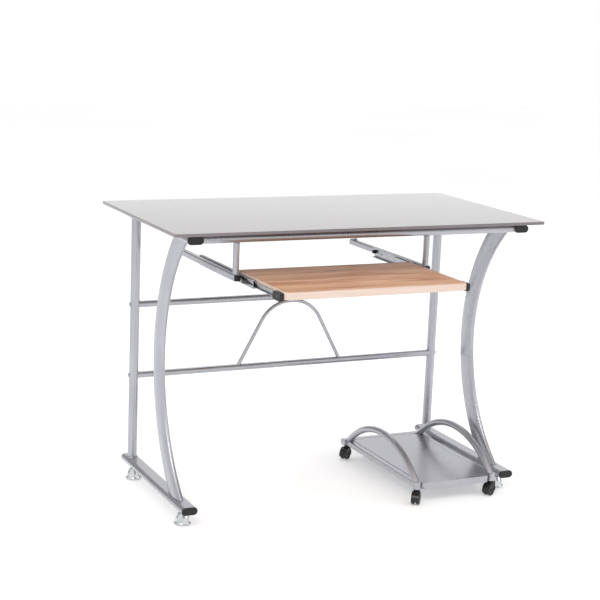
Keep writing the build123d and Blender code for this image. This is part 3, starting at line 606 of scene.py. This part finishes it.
class DESK_OT_feet(bpy.types.Operator):
    """Turned bell feet on rubber soles, with threaded studs"""
    bl_idname = "desk.feet"
    bl_label = "Levelling feet"

    def execute(self, context):
        low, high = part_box("foot_bell_front_left")
        middle = (low + high) / 2
        reach, tall = (high.x - low.x) / 2 / MM, (high.z - low.z) / MM
        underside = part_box("foot_bar_left")[0].z / MM
        shapes = {"bell": (bell_profile(reach, tall), "chrome"),
                  "sole": (sole_profile(reach), "rubber"),
                  "thread": (thread_profile(tall + NUT_HEIGHT, underside + 2), "zinc_steel")}
        models = {part: turned(f"foot_{part}", millimetres(profile), (middle.x, middle.y, 0))
                  for part, (profile, _) in shapes.items()}
        for end_name in ENDS:
            for side in SIDES:
                corner = sum(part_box(f"foot_bell_{end_name}_{side}"), Vector()) / 2
                shift = (corner.x - middle.x, corner.y - middle.y, 0.0)
                for part, model in models.items():
                    piece = copy_of(model, f"foot_{part}_{end_name}_{side}_turned", shift)
                    finish_piece(piece, f"foot_{end_name}_{side}", shapes[part][1])
                    if part == "bell":
                        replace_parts(piece, f"foot_bell_{end_name}_{side}")
        for model in models.values():
            bpy.data.objects.remove(model)
        return {"FINISHED"}


def weld_bead(name, radius, place, up, leg=3.4 * MM):
    """Fillet weld round an upright tube; up is 1 where the bar lies above and -1 where it lies below."""
    profile = [(radius + out * leg, up * rise * leg) for out, rise in WELD_PROFILE]
    bead = turned(name, profile, place, steps=72)
    bpy.ops.mesh.select_all(action="SELECT")
    bpy.ops.transform.vertex_random(offset=0.25 * MM, uniform=0.0, normal=1.0, seed=7)
    clear_selection()
    return bead


def tube_of(node):
    """Where an upright tube stands, and its radius."""
    low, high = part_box(node)
    return (low.x + high.x) / 2, (low.y + high.y) / 2, (high.x - low.x) / 2


class DESK_OT_welds(bpy.types.Operator):
    """Painted fillet welds where posts meet bars and rails"""
    bl_idname = "desk.welds"
    bl_label = "Weld beads"

    def execute(self, context):
        beads = []
        for side in SIDES:
            x, y, radius = tube_of(f"rear_post_{side}")
            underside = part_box(f"top_bar_{side}")[0].z
            bar_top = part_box(f"foot_bar_{side}")[1].z
            beads.append(weld_bead(f"bead_post_top_{side}", radius, (x, y, underside), 1))
            beads.append(weld_bead(f"bead_post_foot_{side}", radius, (x, y, bar_top), -1))
            for end in ENDS:
                x, y, radius = tube_of(f"hanger_post_{end}_{side}")
                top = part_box(f"{end}_rail")[0].z
                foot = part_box(f"hanger_bar_{side}")[1].z
                beads.append(weld_bead(f"bead_hanger_top_{end}_{side}", radius, (x, y, top), 1))
                # kept narrow, since the tray's slide passes beside it
                beads.append(weld_bead(f"bead_hanger_foot_{end}_{side}", radius, (x, y, foot), -1, 1.6 * MM))
        finish_piece(joined("frame_weld_beads", beads), "desk", "frame_paint", angle=60)
        return {"FINISHED"}


def slide_shadow_sheet(side, sign):
    """Thin black sheet on the outer face of the middle member, tapering to the front: a painted shadow that
    darkens that face where it lies in shade.
    """
    low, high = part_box(f"slide_middle_{side}")
    face = low.x if sign < 0 else high.x
    outer = face + sign * 0.5 * MM
    shadow_sheet = block(f"slide_guide_{side}",
                  (min(face, outer), low.y + 1 * MM, low.z + 0.6 * MM),
                  (max(face, outer), low.y + SHADOW_SHEET_LENGTH * MM, high.z - 0.6 * MM))
    pick("faces", lambda side_face: side_face.normal.y < -0.5)
    bpy.ops.transform.resize(value=(1, 1, 0.12))
    pick("edges", lambda edge: abs(middle_of(edge).x - outer) < MM / 20)
    bpy.ops.mesh.bevel(offset=0.3 * MM, segments=3)
    finish_piece(shadow_sheet, f"middle_slide_{side}", "black_plastic")


def slide_balls(side):
    """Two rows of balls between the middle and inner members."""
    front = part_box(f"slide_middle_{side}")[0].y
    low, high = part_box(f"slide_inner_{side}")
    spots = [((low.x + high.x) / 2, front + (14 + 9 * index) * MM, z)
             for z in (high.z + 0.35 * MM, low.z - 0.35 * MM) for index in range(8)]
    bends = [step * math.pi / 8 for step in range(9)]
    profile = millimetres([(BALL_RADIUS * math.sin(bend), -BALL_RADIUS * math.cos(bend)) for bend in bends])
    balls = repeated(f"slide_balls_{side}", profile, spots, steps=16)
    finish_piece(balls, f"middle_slide_{side}", "chrome")


def nose_rivet(side, sign):
    """Hollow rivet that shows in the round window of a nose."""
    low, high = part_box("slide_noses")
    face = (low.x if sign < 0 else high.x) - sign * RIVET_DEPTH * MM
    place = (face, (low.y + high.y) / 2, (low.z + high.z) / 2)
    rivet = turned(f"nose_rivet_{side}", millimetres(RIVET_PROFILE), place, axis=(sign, 0, 0), steps=32)
    finish_piece(rivet, "tray", "zinc_steel")


class DESK_OT_slides(bpy.types.Operator):
    """Black sheets of painted shadow on the middle members, rows of balls, and rivets in the noses of the
    tray slides
    """
    bl_idname = "desk.slides"
    bl_label = "Slide details"

    def execute(self, context):
        for side, sign in zip(SIDES, (-1, 1)):
            slide_shadow_sheet(side, sign)
            slide_balls(side)
            nose_rivet(side, sign)
        return {"FINISHED"}


class DESK_OT_casters(bpy.types.Operator):
    """Twin caster wheels with rounded treads, recessed faces and hub caps"""
    bl_idname = "desk.casters"
    bl_label = "Caster wheels"

    def execute(self, context):
        joints = {joint["name"]: joint for joint in frame["record"]["behaviour"]["joints"]}
        for end_name in ENDS:
            for side in SIDES:
                joint = joints[f"wheels_{end_name}_{side}_spin"]
                middle, axis = Vector(joint["pos_m"]), Vector(joint["axis"])
                parts = []
                for hand in (-1, 1):
                    wheel = millimetres([(radius, hand * height) for radius, height in WHEEL_PROFILE])
                    parts.append(turned(f"wheel_{hand}", wheel, middle, axis=axis, steps=56))
                parts.append(turned("axle", millimetres(AXLE_PROFILE), middle, axis=axis, steps=24))
                pair = joined(f"caster_wheel_pair_{end_name}_{side}", parts)
                finish_piece(pair, f"wheels_{end_name}_{side}", "caster_plastic")
                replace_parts(pair, f"caster_wheels_{end_name}_{side}")
        return {"FINISHED"}


class DESK_OT_stage(bpy.types.Operator):
    """Lay a pale floor, light the desk softly and set the camera"""
    bl_idname = "desk.stage"
    bl_label = "Stage"

    def execute(self, context):
        stage_floor()
        stage_world(context.scene.desk_stage)
        stage_lights()
        stage_camera(context.scene.desk_stage)
        return {"FINISHED"}


def stage_floor():
    bpy.ops.object.select_all(action="DESELECT")
    bpy.ops.mesh.primitive_plane_add(size=FLOOR_SIZE, location=(0, 0, 0))
    floor = bpy.context.object
    floor.name = "floor"
    made, tree, shader, place = material("pale_floor")
    cloud = add(tree, "ShaderNodeTexNoise", {"Vector": place}, Scale=0.6, Detail=2.0)
    tone = ramp(tree, cloud.outputs["Fac"], ((0.3, grey(0.86)), (0.7, grey(0.9))))
    tree.links.new(tone, shader.inputs["Base Color"])
    socket(shader, Roughness=0.9, Emission_Color=grey(1.0), Emission_Strength=0.3)
    floor.data.materials.append(made)


def stage_world(view):
    """White surroundings with a grey band to either side of the view, which draws the edges of tubes."""
    world = bpy.data.worlds.new("studio")
    bpy.context.scene.world = world
    bpy.context.scene.view_settings.view_transform = "Standard"
    world.use_nodes = True
    tree = world.node_tree
    ahead = -view_back(view)
    place = add(tree, "ShaderNodeTexCoord").outputs["Generated"]
    level_place = add(tree, "ShaderNodeVectorMath", {0: place}, operation="MULTIPLY")
    level_place.inputs[1].default_value = (1.0, 1.0, 0.0)
    around = add(tree, "ShaderNodeVectorMath", {0: level_place.outputs["Vector"]}, operation="NORMALIZE")
    facing = add(tree, "ShaderNodeVectorMath", {0: around.outputs["Vector"]}, operation="DOT_PRODUCT")
    facing.inputs[1].default_value = Vector((ahead.x, ahead.y, 0)).normalized()
    share = add(tree, "ShaderNodeMapRange", {"Value": facing.outputs["Value"]}, From_Min=-1.0, From_Max=1.0)
    light = ramp(tree, share.outputs["Result"], [(turn, grey(level)) for turn, level in WORLD_BANDS])
    back = tree.nodes["Background"]
    tree.links.new(light, back.inputs["Color"])
    back.inputs["Strength"].default_value = 1.0


def soft_box(name, place, aim, size, power):
    """A square area light at a place, turned to the point it is aimed at."""
    light = bpy.data.lights.new(name, "AREA")
    light.size = size
    light.energy = power
    holder = bpy.data.objects.new(name, light)
    bpy.context.collection.objects.link(holder)
    holder.location = place
    holder.rotation_euler = (Vector(aim) - Vector(place)).to_track_quat("-Z", "Y").to_euler()


def stage_lights():
    low, high = (Vector(corner) for corner in CAD_BOX)
    middle = (low + high) / 2
    for name, (place, size, power) in LIGHTS.items():
        soft_box(name, place, middle, size, power)


def view_back(view):
    """Unit vector from the desk towards the camera."""
    turn, rise = math.radians(view.azimuth), math.radians(view.elevation)
    return Vector((math.sin(turn) * math.cos(rise), -math.cos(turn) * math.cos(rise), math.sin(rise)))


def stage_camera(view):
    """The camera looks at a point near the middle of the desk, from in front and to the left."""
    back = view_back(view)
    lens = bpy.data.cameras.new("camera")
    lens.lens = view.lens
    lens.sensor_width = SENSOR_WIDTH
    holder = bpy.data.objects.new("camera", lens)
    bpy.context.collection.objects.link(holder)
    holder.location = CAMERA_AIM + back * view.distance
    holder.rotation_mode = "QUATERNION"
    level = (-back).to_track_quat("-Z", "Y")
    holder.rotation_quaternion = level @ Quaternion((0, 0, 1), math.radians(view.roll))
    bpy.context.scene.camera = holder


class DESK_PT_panel(bpy.types.Panel):
    """Sidebar panel with the desk's operators"""
    bl_idname = "DESK_PT_panel"
    bl_label = "Glass computer desk"
    bl_space_type = "VIEW_3D"
    bl_region_type = "UI"
    bl_category = "Desk"

    def draw(self, context):
        for operator in OPERATORS:
            self.layout.operator(operator.bl_idname)


OPERATORS = (DESK_OT_finishes, DESK_OT_glass, DESK_OT_pads, DESK_OT_tray, DESK_OT_feet, DESK_OT_welds,
             DESK_OT_slides, DESK_OT_casters, DESK_OT_stage)
CLASSES = (DeskFinishes, DeskSizes, DeskStage, *OPERATORS, DESK_PT_panel)


def register():
    for item in CLASSES:
        bpy.utils.register_class(item)
    bpy.types.Scene.desk_finishes = PointerProperty(type=DeskFinishes)
    bpy.types.Scene.desk_sizes = PointerProperty(type=DeskSizes)
    bpy.types.Scene.desk_stage = PointerProperty(type=DeskStage)


def unregister():
    del bpy.types.Scene.desk_stage
    del bpy.types.Scene.desk_sizes
    del bpy.types.Scene.desk_finishes
    for item in reversed(CLASSES):
        bpy.utils.unregister_class(item)


def main():
    register()
    for operator in OPERATORS:
        group, name = operator.bl_idname.split(".")
        getattr(getattr(bpy.ops, group), name)()


if __name__ == "__main__":
    main()
